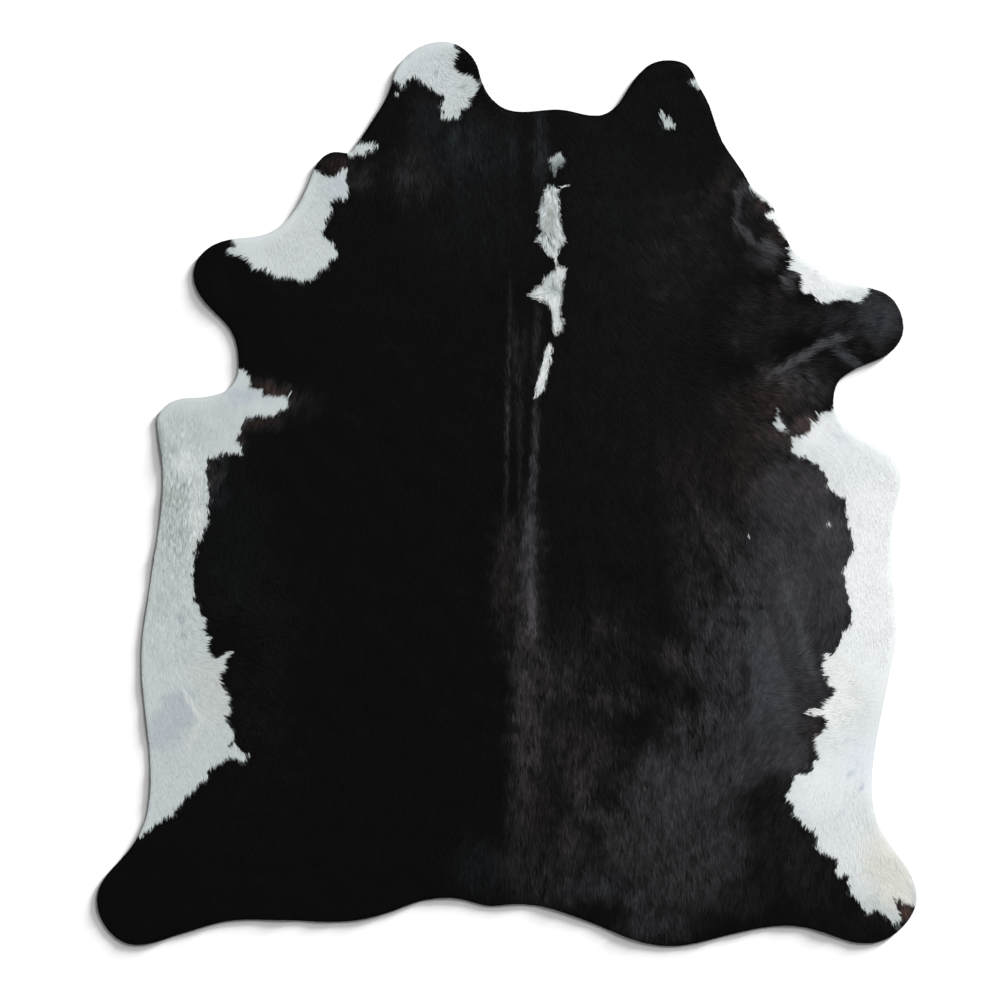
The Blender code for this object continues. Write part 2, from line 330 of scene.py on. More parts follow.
# Which way the hair lies, in degrees from across the hide to its right, at places in mm.
COMBED = (
    Comb("nape", 60, 980, -90),
    Comb("left neck lobe", -240, 1060, -90),
    Comb("left neck lobe's inner side", -97, 1022, 25),
    Comb("left neck lobe's foot", -142, 960, -100),
    Comb("right neck lobe", 400, 1000, -80),
    Comb("left neck edge", -380, 820, -110),
    Comb("right neck edge", 570, 800, -60),
    Comb("left shoulder's neck", -455, 760, -60),
    Comb("left shoulder", -542, 635, -85),
    Comb("right shoulder's inner side", 733, 560, -20),
    Comb("right shoulder", 808, 535, -75),
    Comb("left foreleg", -704, 547, -165),
    Comb("right foreleg", 908, 435, 5),
    Comb("right foreleg's middle", 840, 425, 15),
    Comb("foreleg ridge", 690, 325, 38),
    Comb("foreleg ridge's top", 785, 378, 18),
    Comb("foreleg ridge's fork", 843, 342, -30),
    Comb("right foreleg's underside", 740, 270, -45),
    Comb("brisket fold's turn", 598, 655, -55),
    Comb("brisket fold's foot", 650, 624, -22),
    Comb("left armpit", -642, 310, -120),
    Comb("right armpit", 740, 240, -50),
    Comb("left flank", -817, 110, -92),
    Comb("right flank", 908, 60, -85),
    Comb("left belly", -850, -180, -92),
    Comb("left belly's foot", -850, -330, -92),
    Comb("left stifle's edge", -890, -450, -100),
    Comb("left stifle's front", -810, -560, -78),
    Comb("right belly", 908, -265, -88),
    Comb("left stifle", -735, -375, 5),
    Comb("left stifle's underside", -704, -503, -30),
    Comb("left thigh", -792, -665, -85),
    Comb("right stifle", 788, -515, 175),
    Comb("right stifle's underside", 733, -690, -130),
    Comb("right thigh", 858, -890, -95),
    Comb("right hock", 958, -990, -60),
    Comb("left hock", -917, -965, -110),
    Comb("left ribs", -430, 20, -105),
    Comb("right ribs", 470, 20, -75),
    Comb("left loin", -420, -480, -105),
    Comb("right loin", 480, -480, -75),
    Comb("shoulder blades", 60, 560, -90),
    Comb("back", 55, 60, -90),
    Comb("croup", 50, -520, -90),
    Comb("left rump", -400, -950, -95),
    Comb("right rump", 450, -950, -85),
    Comb("tail", 30, -1000, -90),
)
COMB_HOLD = 8.0               # mm round such a place within which its heading hardly fades
COMB_FADE = 3.0               # how steeply it fades beyond

Tint = namedtuple("Tint", "name across along half_width half_length turn warm bloom streak crisp",
                  defaults=(1.0, 1.5))

# Soft patches of the dark hair, each laid over those before it, at places in mm. Most are painted light:
# a painted sheen, brightest on the right where the light falls, painted highlights on the lit sides of
# folds, ridges, wrinkles and the spine, and painted shade in creases and hollows; some are the real brown
# of the hair. warm turns the hair brown, or blue where it is below 0. The value after warm is how light the
# hair is painted, from jet at 0 to charcoal at 1: mostly painted sheen, with the hair's own brown or grey.
# streak is how uneven it is, crisp how sharp the patch's edge is, and turn its lean to the left, in degrees.
DARK_TINTS = (
    Tint("whole coat", 0, 0, 9000, 9000, 0, 0.0, 0.0),
    Tint("left flank's dark side", -680, -128, 100, 238, 0, -1.0, 0.02),
    Tint("left of the tail", -72, -935, 58, 70, 0, -0.8, 0.06),
    Tint("right side of the back", 333, 160, 275, 525, 0, 0.1, 0.02),
    Tint("right neck", 263, 697, 115, 300, 0, -0.5, 0.03),
    Tint("right neck lobe", 370, 940, 150, 115, 0, -1.0, 0.01),
    Tint("right shoulder blade", 438, 610, 120, 155, 0, 0.1, 0.07),
    Tint("glow of the shoulder blade", 403, 610, 38, 22, 0, 0.0, 0.14),
    Tint("second glow of the shoulder blade", 390, 505, 32, 18, 0, 0.0, 0.15),
    Tint("neck wrinkle", 428, 744, 5, 106, -80, 0.1, 0.14),
    Tint("second neck wrinkle", 438, 692, 5, 111, -84, 0.1, 0.14),
    Tint("third neck wrinkle", 423, 637, 5, 112, -80, 0.0, 0.14),
    Tint("left neck lobe's foot", -207, 940, 42, 70, 0, -0.3, 0.08),
    Tint("left neck", -80, 680, 155, 130, 0, -0.5, 0.03),
    Tint("left neck sheen", -102, 860, 110, 88, 0, -0.7, 0.1),
    Tint("heart of the neck sheen", -107, 885, 42, 38, 0, -0.7, 0.17),
    Tint("left brisket", -232, 800, 60, 68, 0, 0.1, 0.14),
    Tint("glow of the left brisket", -255, 795, 25, 28, 0, 0.0, 0.24),
    Tint("nape streak", 85, 860, 20, 95, 0, -0.6, 0.18),
    Tint("second nape streak", 15, 855, 15, 95, 0, -0.6, 0.09),
    Tint("nape", 140, 910, 30, 65, 0, 0.0, 0.0),
    Tint("left neck flap", -434, 820, 42, 30, 0, 0.7, 0.13),
    Tint("left neck flap's inner side", -362, 790, 30, 35, 0, 0.0, 0.19),
    Tint("left armpit's end", -507, 230, 40, 35, 0, 0.0, 0.09),
    Tint("left armpit rim", -590, 262, 20, 59, 77, 0.6, 0.3),
    Tint("left elbow rim", -617, 177, 18, 61, 100, 0.6, 0.2),
    Tint("left elbow's side", -664, 132, 12, 41, 4, 0.5, 0.14),
    Tint("left flank rim", -737, 60, 30, 85, 0, 0.15, 0.26),
    Tint("right brisket's edge", 538, 770, 28, 75, -24, 0.4, 0.13),
    Tint("right brisket", 588, 697, 28, 55, 0, -0.1, 0.08),
    Tint("brisket lump", 638, 717, 28, 25, 0, 0.5, 0.23),
    Tint("lower brisket lump", 676, 652, 32, 28, 25, 0.5, 0.22),
    Tint("below the brisket fold", 646, 590, 40, 28, 0, 0.05, 0.42, 0.6),
    Tint("right shoulder's foot", 613, 395, 65, 55, 0, 0.0, 0.12),
    Tint("above the shoulder's foot", 613, 475, 50, 40, 0, 0.0, 0.12),
    # Painted sheen along the lit side of the brisket's fold.
    Tint("brisket fold's top", 593, 760, 22, 20, 0, 0.0, 0.65, 0.6),
    Tint("brisket fold's side", 574, 707, 7, 52, 0, 0.1, 0.75, 0.6),
    Tint("brisket fold's turn", 598, 651, 10, 30, 47, 0.0, 0.85, 0.6),
    Tint("brisket fold's foot", 648, 617, 15, 42, 71, -0.1, 0.95, 0.5),
    Tint("right shoulder's edge", 688, 440, 75, 35, 0, 0.0, 0.1),
    Tint("right shoulder's red", 668, 495, 18, 28, 0, 0.5, 0.14),
    Tint("right shoulder's glint", 704, 532, 17, 28, 0, -0.05, 1.1, 0.8),
    Tint("right foreleg", 828, 440, 85, 45, 0, -0.1, 0.16),
    Tint("right foreleg's end", 933, 447, 60, 75, 0, -0.2, 0.55, 0.5),
    Tint("right foreleg's dark spot", 928, 430, 18, 18, 0, -0.5, 0.25),
    Tint("right foreleg's underside", 733, 275, 65, 55, 0, 0.05, 0.44),
    # Painted highlight along the foreleg's ridge, and painted shade in the hollow under it.
    Tint("foot of the foreleg's ridge", 663, 295, 38, 30, -40, 0.1, 0.5),
    Tint("foreleg ridge", 722, 333, 11, 66, -59, 0.0, 1.3, 0.6),
    Tint("foreleg ridge's top", 813, 383, 12, 42, -71, -0.1, 1.3, 0.6),
    Tint("foreleg ridge's fork", 847, 343, 13, 46, 50, -0.3, 0.8, 0.6),
    Tint("hollow under the ridge", 783, 325, 28, 25, 0, 0.0, 0.07),
    Tint("right armpit", 638, 230, 110, 55, 0, 0.5, 0.19),
    Tint("right armpit's heart", 626, 145, 40, 40, 0, 0.4, 0.32),
    Tint("right ribs' red", 453, 70, 95, 100, 10, 0.4, 0.07),
    Tint("right ribs' brown", 573, 90, 60, 120, 0, 0.5, 0.09),
    Tint("right elbow", 733, 15, 130, 80, 0, 0.12, 0.62, 0.4),
    Tint("front of the elbow", 683, -5, 35, 55, 0, 0.1, 0.45, 0.5),
    Tint("right armpit's foot", 688, 142, 55, 32, 0, 0.4, 0.45, 0.6),
    Tint("right armpit's rim", 748, 177, 35, 22, 30, 0.55, 0.68, 0.5),
    Tint("front of the flank", 538, -295, 85, 250, 14, 0.0, 0.36, 1.1),
    Tint("right of the short crease", 543, -130, 40, 80, 24, 0.1, 0.27),
    Tint("shade of the short crease", 512, -203, 25, 115, 28, 0.1, 0.05, 1.0),
    Tint("shade of the flank's front", 498, -240, 45, 50, 0, 0.1, 0.12, 1.0),
    Tint("foot of the short crease", 566, -268, 22, 30, 20, 0.0, 0.2, 1.0),
    Tint("right flank", 713, -210, 130, 175, 4, 0.0, 0.59, 0.3),
    Tint("right belly", 673, -490, 135, 175, -6, -0.15, 0.76, 0.3),
    Tint("right stifle", 603, -610, 100, 75, 0, -0.05, 0.42, 0.5),
    Tint("right thigh's top", 573, -700, 45, 35, 0, -0.1, 0.55, 0.5),
    Tint("cool band of the belly", 643, -435, 42, 155, 2, -0.25, 0.7, 0.3),
    Tint("bright of the flank", 663, -350, 25, 55, 0, 0.0, 0.88, 0.3),
    Tint("dark of the belly", 583, -490, 32, 125, -4, 0.0, 0.36, 0.6),
    Tint("right flank's rim", 840, -203, 38, 150, 0, -0.05, 0.7, 0.3),
    Tint("upper rim of the flank", 798, -90, 45, 55, 0, 0.05, 0.78, 0.3),
    Tint("right belly's rim", 763, -520, 50, 80, 0, 0.05, 0.36, 0.5),
    Tint("foot of the belly", 703, -658, 55, 40, 0, 0.0, 0.72, 0.3),
    Tint("right stifle's rim", 776, -610, 28, 50, 0, 0.35, 0.26),
    # Painted shade in the flank's creases and wrinkles, and painted highlights on their lit sides.
    Tint("short crease of the ribs", 483, -95, 6, 126, 23, 0.2, 0.05),
    Tint("short crease's lit side", 503, -88, 8, 123, 24, 0.25, 0.26),
    Tint("long crease of the flank", 676, -340, 11, 150, 18, 0.0, 0.46, 0.2),
    Tint("long crease's lit side", 727, -320, 12, 145, 18, -0.1, 0.95, 0.2),
    Tint("wrinkle 1 of the flank", 578, -240, 5, 75, 88, 0.0, 0.16),
    Tint("wrinkle 2 of the flank", 598, -280, 5, 75, 88, 0.0, 0.16),
    Tint("wrinkle 3 of the flank", 563, -320, 5, 70, 88, 0.0, 0.16),
    Tint("wrinkle 4 of the flank", 527, -390, 5, 69, 88, 0.0, 0.22),
    Tint("wrinkle 5 of the flank", 490, -435, 5, 88, 88, 0.0, 0.22),
    Tint("right croup", 213, -420, 155, 165, 0, 0.15, 0.07, 1.6),
    Tint("glow of the loin", 413, -400, 40, 38, 0, 0.2, 0.22, 1.2),
    Tint("second glow of the loin", 243, -340, 38, 30, 0, 0.25, 0.16, 1.2),
    Tint("glow of the croup", 263, -510, 90, 28, 0, 0.2, 0.2, 1.2),
    Tint("lower croup", 148, -628, 125, 70, 0, 0.25, 0.17, 1.2),
    Tint("band over the tail", 248, -803, 85, 22, 0, 0.1, 0.36, 0.8),
    Tint("patch beside the tail", 183, -725, 38, 60, 0, 0.3, 0.34),
    Tint("second band of the croup", 158, -470, 28, 55, 0, 0.2, 0.2),
    Tint("lower croup's right side", 238, -665, 40, 35, 0, 0.2, 0.21),
    Tint("dark of the hip", 353, -560, 60, 30, 20, 0.0, 0.0),
    Tint("right thigh's front", 478, -550, 75, 90, 0, 0.08, 0.28, 1.4),
    Tint("front of the thigh", 513, -665, 38, 32, 0, 0.0, 0.42, 0.8),
    Tint("brown of the hip", 480, -425, 28, 38, 0, 0.05, 0.4, 1.0),
    Tint("hollow of the thigh", 458, -505, 45, 35, 0, 0.0, 0.02, 1.4),
    Tint("dark beside the croup", 288, -740, 55, 90, 0, 0.0, 0.08, 1.4),
    Tint("right rump", 443, -778, 125, 145, 0, 0.1, 0.5, 0.6),
    Tint("left of the rump", 363, -690, 38, 50, 0, 0.05, 0.5, 0.8),
    Tint("middle of the rump", 458, -830, 62, 100, 0, 0.05, 0.33, 0.8),
    Tint("dark of the rump's side", 538, -825, 40, 35, 0, 0.05, 0.22, 0.8),
    Tint("right rump's left side", 303, -885, 80, 70, 0, 0.1, 0.31, 0.8),
    Tint("right rump's foot", 458, -955, 125, 85, 0, 0.1, 0.33, 0.8),
    Tint("right hind leg", 738, -870, 125, 165, 20, 0.0, 0.09),
    Tint("right rump's right side", 563, -885, 45, 60, 0, 0.05, 0.36, 0.6),
    Tint("right of the rump's foot", 588, -1003, 70, 50, 0, 0.0, 0.09),
    Tint("right hind leg's end", 848, -1090, 125, 60, 0, 0.0, 0.02),
    Tint("foot of the rump", 370, -1080, 90, 38, 0, -0.05, 0.24),
    Tint("tail root", 98, -945, 115, 90, 0, 0.1, 0.15, 1.2),
    Tint("right of the tail", 248, -975, 55, 38, 0, -0.15, 0.24),
    Tint("coat's foot by the tail", 176, -985, 50, 30, 0, -0.1, 0.28, 0.8),
    Tint("second coat's foot", 328, -1010, 40, 30, 0, -0.05, 0.38, 0.8),
    Tint("right of the tail root", 163, -860, 40, 45, 0, 0.2, 0.22),
    Tint("below the croup", 83, -778, 60, 95, 0, 0.3, 0.09, 1.2),
    Tint("left of the lower spine", 20, -796, 22, 103, 0, 0.1, 0.18, 1.0),
    Tint("hock", 998, -1045, 28, 28, 0, 0.75, 0.55),
    Tint("hock's underside", 933, -1045, 35, 22, 0, 0.7, 0.16),
    Tint("left of the spine", -10, -228, 30, 130, 0, 0.35, 0.14),
    Tint("left of the spine's upper end", 8, -105, 30, 45, 0, 0.2, 0.17),
    # Painted sheen in streaks along the spine's fold and beside the blaze.
    Tint("streak left of the blaze", 73, 390, 9, 94, -3, 0.0, 0.22),
    Tint("second streak left of the blaze", 43, 375, 8, 61, -3, -0.1, 0.12),
    Tint("third streak left of the blaze", 20, 380, 9, 66, 0, 0.0, 0.13),
    Tint("streak below the blaze", 30, 235, 10, 88, 0, 0.1, 0.2),
    Tint("spine's left line", 3, 228, 6, 282, -1, 0.1, 0.24, 1.4),
    Tint("spine's middle line", 33, 116, 5, 144, -1, 0.0, 0.14),
    Tint("spine's glow", 60, -160, 32, 150, 0, 0.0, 0.2),
    Tint("spine", 69, 98, 9, 167, -2, 0.0, 0.42, 0.8),
    Tint("spine at the loin", 53, -158, 16, 135, -2, 0.1, 0.75, 0.5),
    Tint("right of the croup's line", 98, -485, 25, 75, 0, 0.2, 0.27, 1.2),
    Tint("right of the spine's croup", 105, -645, 18, 65, 0, 0.1, 0.08, 1.0),
    Tint("spine at the croup", 50, -515, 35, 280, 0, 0.2, 0.36, 1.1),
    Tint("top of the croup's spine", 60, -415, 55, 32, 0, 0.15, 0.2),
    Tint("bright thread of the spine", 62, -298, 11, 80, 1, 0.1, 1.0, 0.5),
)

# Soft patches of the white hair, laid over each other too. warm turns it cream, or blue where it is below 0.
# The value after warm brightens it from grey at 0 to white at 1: partly the hair's own grey, and partly
# painted light, brighter on the right where the light falls. Below 0 it darkens the hair: dark flecks and
# patches in the hair, and painted shade at the left elbow's edge and in its wrinkles.
WHITE_TINTS = (
    Tint("whole coat", 0, 0, 9000, 9000, 0, 0.0, 0.2, 0.15),
    Tint("left neck lobe", -192, 1047, 110, 100, 0, -0.15, 0.33, 0.8),
    Tint("left shoulder", -544, 640, 150, 140, 0, -0.1, 0.34, 0.3),
    Tint("left shoulder's front", -417, 765, 35, 35, 0, -0.4, 0.28, 1.0),
    Tint("left armpit", -660, 245, 65, 20, 0, -0.45, 0.12, 1.0),
    Tint("left elbow", -767, 190, 85, 55, 0, 0.0, 0.17, 0.5),
    Tint("left flank", -822, -35, 85, 190, 0, 0.05, 0.06, 6.0),
    Tint("dark hair of the left flank", -842, -5, 30, 35, 0, 0.2, -0.08, 7.0),
    Tint("below the left elbow", -802, 80, 50, 35, 0, 0.0, 0.36, 1.5),
    Tint("left flank's rim", -772, -95, 22, 150, 3, 0.1, 0.27, 4.0),
    Tint("left flank's foot", -847, -280, 45, 45, 0, 0.1, -0.08, 3.0),
    # Painted shade where the rim folds at the left elbow, and in the wrinkles beside it.
    Tint("left elbow's edge", -870, 120, 12, 60, 0, 0.0, -0.3, 1.0),
    Tint("wrinkle 3 of the left elbow", -847, 90, 4, 20, 80, 0.0, -0.02, 1.0),
    Tint("wrinkle 2 of the left elbow", -842, 112, 4, 20, 80, 0.0, -0.02, 1.0),
    Tint("wrinkle 1 of the left elbow", -844, 135, 4, 20, 80, 0.0, -0.02, 1.0),
    Tint("left belly", -837, -340, 100, 110, 0, 0.0, 0.17, 2.5),
    Tint("left stifle", -737, -490, 75, 85, 0, 0.2, 0.24, 0.8),
    Tint("left thigh", -822, -740, 110, 110, 0, -0.1, 0.21, 0.4),
    Tint("grey patch of the left stifle", -838, -562, 50, 94, -30, -0.3, 0.11, 0.3, 4.0),
    Tint("grey patch's tip", -797, -538, 23, 33, 0, -0.3, 0.11, 0.3, 4.0),
    Tint("grey patch's rim", -788, -523, 6, 47, 30, 0.2, 0.4, 0.2),
    Tint("grey patch's lower rim", -784, -605, 6, 48, -24, 0.2, 0.36, 0.2),
    Tint("right shoulder", 770, 540, 165, 90, 0, -0.1, 0.79, 0.1),
    Tint("right brisket", 690, 702, 60, 60, 0, 0.0, 0.98, 0.1),
    Tint("right side", 946, -165, 225, 475, 0, 0.0, 0.78, 0.06),
    Tint("right armpit", 803, 142, 90, 60, 0, -0.15, 0.77, 0.1),
    Tint("right elbow", 923, 105, 70, 55, 0, -0.1, 0.66, 0.1),
    Tint("right armpit's cool edge", 846, 145, 35, 12, 20, -0.3, 0.7, 0.3),
    Tint("right belly", 803, -515, 75, 100, 0, 0.1, 0.76, 0.3),
    Tint("right thigh", 833, -728, 175, 125, 0, -0.1, 0.62, 0.3),
    Tint("right thigh's cool patch", 898, -670, 55, 60, 0, -0.4, 0.64, 0.3),
    Tint("right hind leg", 853, -890, 125, 125, 0, -0.05, 0.56, 0.3),
    Tint("right hock", 953, -940, 60, 100, 16, 0.45, 0.57, 0.4),
    Tint("right hock's end", 983, -990, 35, 40, 0, 0.4, 0.58, 0.4),
    Tint("fleck of the right thigh", 850, -620, 8, 6, 0, -0.4, 0.42, 0.3),
    Tint("second fleck of the right thigh", 863, -698, 8, 8, 0, -0.6, 0.35, 0.3),
    Tint("third fleck of the right thigh", 886, -733, 6, 10, 0, -0.6, 0.3, 0.3),
    Tint("fourth fleck of the right thigh", 740, -793, 6, 6, 0, -0.4, 0.4, 0.3),
    Tint("fifth fleck of the right thigh", 836, -795, 8, 8, 0, -0.3, 0.45, 0.3),
    Tint("fleck of the left belly", -814, -310, 10, 6, 0, -0.3, -0.25, 0.3),
    Tint("second fleck of the left belly", -807, -353, 6, 6, 0, -0.3, -0.4, 0.3),
    Tint("fleck of the neck lobe", -112, 1015, 4, 4, 0, 0.0, -0.5, 0.3),
    Tint("second fleck of the neck lobe", -180, 1052, 6, 6, 0, 0.0, -0.2, 0.3),
    Tint("third fleck of the neck lobe", -197, 1012, 8, 6, 0, 0.0, -0.1, 0.3),
)
WANDER = 0.3                  # how far a patch's edge wanders, as a share of its half width
WANDER_MOST = 30.0            # mm of half width that count for that
WANDER_WAVE = 45.0            # mm from one swell of the edge to the next
SHEEN_CLOUD = 20.0             # mm from one cloud of the painted sheen, and of the hair's roughness, to the next


def white_gap(places, markings):
    """How far each place is inside the markings' white, in mm. In the dark hair it is negative."""
    torn = places.copy()
    tear = BLAZE_TEAR if markings is BLAZE else 1.0
    for layer, (wave, depth) in enumerate(TORN):
        torn[:, 0] += tear * depth * swell(places, wave, seed=11 + layer)
        torn[:, 1] += tear * depth * swell(places, wave, seed=21 + layer)
    gap = np.full(len(places), -1000.0)
    for marking in markings:
        within = signed_gap(torn, marking.edge)
        if marking.name.startswith("dark"):
            gap = np.minimum(gap, -within)
        else:
            gap = np.maximum(gap, within)
    return gap


def heading_at(places, combed):
    """The way the hair lies at each place, as an angle from across the hide to its right."""
    flow = np.zeros((len(places), 2))
    for row in combed:
        far = np.hypot(places[:, 0] - row.across, places[:, 1] - row.along) + COMB_HOLD
        way = math.radians(row.heading)
        flow += np.outer(far ** -COMB_FADE, (math.cos(way), math.sin(way)))
    return np.arctan2(flow[:, 1], flow[:, 0])


def tints_at(places, tints):
    """The coat's warmth, lightness with its painted light, and streak at each place, side by side."""
    wander = np.column_stack([swell(places, WANDER_WAVE, seed) for seed in (51, 52)])
    tint_and_light = np.zeros((len(places), 3))
    for tint in tints:
        lean = math.radians(tint.turn)
        moved = places + WANDER * min(tint.half_width, WANDER_MOST) * wander - (tint.across, tint.along)
        side = moved @ (math.cos(lean), math.sin(lean)) / tint.half_width
        run = moved @ (-math.sin(lean), math.cos(lean)) / tint.half_length
        share = np.exp(-(side * side + run * run) ** tint.crisp)
        tint_and_light += share[:, None] * (np.array((tint.warm, tint.bloom, tint.streak)) - tint_and_light)
    return tint_and_light


def coat_at(places):
    """What the coat is like at each place, by name. The short hair under the blaze is pale too."""
    white = (white_gap(places, PATCHES) > 0).astype(float)
    tint_and_light = np.where(white[:, None] > 0.5, tints_at(places, WHITE_TINTS), tints_at(places, DARK_TINTS))
    white[(white < 0.5) & (white_gap(places, BLAZE) > BLAZE_BED_GAP)] = BLAZE_BED
    return {"white": white, "warm": tint_and_light[:, 0], "bloom": tint_and_light[:, 1], "streak": tint_and_light[:, 2]}


def store(mesh, **values):
    """Keeps each array of values on the mesh's points, under its name."""
    for name, value in values.items():
        kind, field = ("FLOAT_VECTOR", "vector") if value.ndim == 2 else ("FLOAT", "value")
        mesh.attributes.new(name, kind, "POINT").data.foreach_set(field, value.astype(np.float32).ravel())


def coat_material(name, depth, strands):
    """The coat's material. depth darkens the whole of it, and strands is how many ridges a lock shows."""
    made = bpy.data.materials.new(name)
    made.use_nodes = True
    tree = made.node_tree
    hair = tree.nodes["Principled BSDF"]
    read = {key: add(tree, "ShaderNodeAttribute", attribute_name=key).outputs["Fac"]
            for key in ("white", "warm", "bloom", "tone", "grown", "side")}

    # Dark hair is jet. Over it lies a painted sheen in clouds, cool, neutral or brown; where it is
    # brown it is partly the real brown of the hair.
    spot = add(tree, "ShaderNodeTexCoord").outputs["Object"]
    cloud = add(tree, "ShaderNodeTexNoise", {"Vector": spot, "Scale": 1 / (SHEEN_CLOUD * MM),
                                             "Detail": 5.0, "Roughness": 0.7}).outputs["Fac"]
    uneven = add(tree, "ShaderNodeMapRange", {"Value": cloud, "From Min": 0.3, "From Max": 0.7,
                                              "To Min": 0.75, "To Max": 1.25}).outputs["Result"]
    tinted_sheen = add(tree, "ShaderNodeMath", {0: read["bloom"], 1: uneven}, operation="MULTIPLY",
                use_clamp=True).outputs["Value"]
    warmth = add(tree, "ShaderNodeMapRange", {"Value": read["warm"], "From Min": -1.0}).outputs["Result"]
    sheen_and_brown = add(tree, "ShaderNodeValToRGB", {"Fac": warmth})
    sheen_and_brown.color_ramp.elements[0].color = paint("#35444b")
    sheen_and_brown.color_ramp.elements[1].color = paint("#543d34")
    sheen_and_brown.color_ramp.elements.new(0.5).color = paint("#444448")
    dark = add(tree, "ShaderNodeMixRGB", {"Fac": tinted_sheen, "Color1": paint("#040404"),
                                          "Color2": sheen_and_brown.outputs["Color"]}).outputs["Color"]

    # White hair goes from grey to white, partly its own grey and partly painted light, and is stained blue or
    # cream. Grime and painted shade take it down from there.
    grey_to_lit_white = add(tree, "ShaderNodeMixRGB", {"Fac": read["bloom"], "Color1": paint("#a9b2b3"),
                                           "Color2": paint("#fafcfc")}).outputs["Color"]
    stain = add(tree, "ShaderNodeValToRGB", {"Fac": warmth})
    stain.color_ramp.elements[0].color = paint("#eaeeff")
    stain.color_ramp.elements[1].color = paint("#f6ecd4")
    stain.color_ramp.elements.new(0.5).color = paint("#ffffff")
    pale = add(tree, "ShaderNodeMixRGB", {"Fac": 1.0, "Color1": grey_to_lit_white, "Color2": stain.outputs["Color"]},
               blend_type="MULTIPLY").outputs["Color"]
    soot_and_shade = add(tree, "ShaderNodeMapRange", {"Value": read["bloom"], "From Min": -1.0, "From Max": 0.0,
                                            "To Min": 0.25}).outputs["Result"]
    both = add(tree, "ShaderNodeMixRGB", {"Fac": read["white"], "Color1": dark,
                                          "Color2": pale}).outputs["Color"]

    # Each lock is lighter or darker by its tone, and lightest at its tip: darker towards its root, as painted
    # shade under the locks that lie over it. White locks differ far less.
    each = add(tree, "ShaderNodeMath", {0: read["tone"], 1: 0.1 * depth, 2: depth},
               operation="MULTIPLY_ADD").outputs["Value"]
    shaded_root = add(tree, "ShaderNodeMapRange", {"Value": read["grown"], "To Min": 0.9,
                                            "To Max": 1.03}).outputs["Result"]
    level = add(tree, "ShaderNodeMath", {0: each, 1: shaded_root}, operation="MULTIPLY").outputs["Value"]
    even = add(tree, "ShaderNodeMath", {0: level, 1: 0.35, 2: 0.64},
               operation="MULTIPLY_ADD").outputs["Value"]
    darkened = add(tree, "ShaderNodeMath", {0: even, 1: soot_and_shade}, operation="MULTIPLY").outputs["Value"]
    calm = add(tree, "ShaderNodeMapRange", {"Value": read["white"], "To Min": level, "To Max": darkened})
    colour = add(tree, "ShaderNodeVectorMath", {0: both, "Scale": calm.outputs["Result"]},
                 operation="SCALE").outputs["Vector"]

    # Ridges along a lock stand for its hairs, a few for many, so that they show.
    phase = add(tree, "ShaderNodeMath", {0: read["side"], 1: strands * math.pi}, operation="MULTIPLY")
    wave = add(tree, "ShaderNodeMath", {0: phase.outputs["Value"]}, operation="SINE").outputs["Value"]
    strand = add(tree, "ShaderNodeBump", {"Height": wave, "Strength": 0.5, "Distance": 0.1 * MM})
    rough = add(tree, "ShaderNodeMapRange", {"Value": cloud, "To Min": 0.42, "To Max": 0.56})
    tree.links.new(colour, hair.inputs["Base Color"])
    tree.links.new(rough.outputs["Result"], hair.inputs["Roughness"])
    tree.links.new(strand.outputs["Normal"], hair.inputs["Normal"])
    hair.inputs["IOR"].default_value = 1.55
    hair.inputs["Specular IOR Level"].default_value = 0.04
    return made


# Keratin hair, clean and brushed: a soft sheen along each lock, and the dark hair hardly lit at all. Most of
# the coat's sheen is painted into its colour.
HAIR = coat_material("sleek cowhide hair", 1.0, 5)
# The grain under the hair is darker by depth: painted shade under the locks.
UNDERCOAT = coat_material("hair roots on the grain", 0.85, 0)

grain = places_of(skin.data)
store(skin.data, tone=np.zeros(len(grain)), grown=np.ones(len(grain)), side=np.zeros(len(grain)),
      **coat_at(grain[:, :2]))
skin.data.materials.clear()
skin.data.materials.append(UNDERCOAT)
skin.data.materials.append(SUEDE)
for face in skin.data.polygons:
    face.material_index = 0 if face.normal.z > 0.5 else 1

# ---------------------------------------------------------------------------------------------------------
# The locks of hair: each is a flat pointed wisp of a few dozen hairs, rooted in the skin and lying over the
# roots of the next. Their roots are 2.6 to 5 mm apart, and they are trimmed along the skin's cut edge.

Lock = namedtuple("Lock", "step width length height")

DARK = Lock(5.0, 4.2, 23.0, 0.6)     # mm: from root to root, and each lock's own sizes, in the dark hair
PALE = Lock(3.6, 3.4, 20.0, 0.16)    # mm: the same in the white
EDGE = Lock(2.6, 2.0, 13.0, 0.3)     # mm: the same where the two meet, round the blaze and at the cut edge
EDGE_REACH = 15.0             # mm to each side of a marking's edge where the locks are that fine
RIM_REACH = 11.0              # mm in from the cut edge where they are, too
ROOT_JITTER = 0.42            # how far a root strays from its even row, as a share of the step
TUFT_STEP = 6.5               # mm between the tufts that locks gather into
GATHER = 0.35                 # how far a lock is drawn sideways to its tuft's middle
TAPER = 0.5                   # how much shorter the locks are at a tuft's sides
SWAY = ((8.0, 70.0), (5.0, 22.0))    # degrees and mm: the hair's heading sways in swells of these waves
STRAY = 4.0                   # degrees: how far a lock's heading is off its tuft's
ROLL = 3.0                    # degrees: how far a lock rolls about its length
LENGTHS = (0.8, 1.15)         # the shortest and the longest lock of a kind, as a share of its length
LONERS = 0.12                 # the share of locks that take their own colour and not their tuft's
UNEVEN = 0.4                  # how far tufts, and the locks in a tuft, differ in tone at random
TUFT_STREAKS = (11.0, 0.7)    # mm and share: the broad streaks in the tufts' tone
COMBED_OUT = (1.0, 0.3)       # places are squeezed by this first, so that streaks run along the hide
STROKES = (6.0, 0.7)          # mm and share: the fine streaks in the locks' tone
STROKE_RUN = (1.0, 0.2)       # the same squeeze for these, which run further
MOTTLE = 0.35                 # how far the dark locks differ in their painted sheen, by their tone
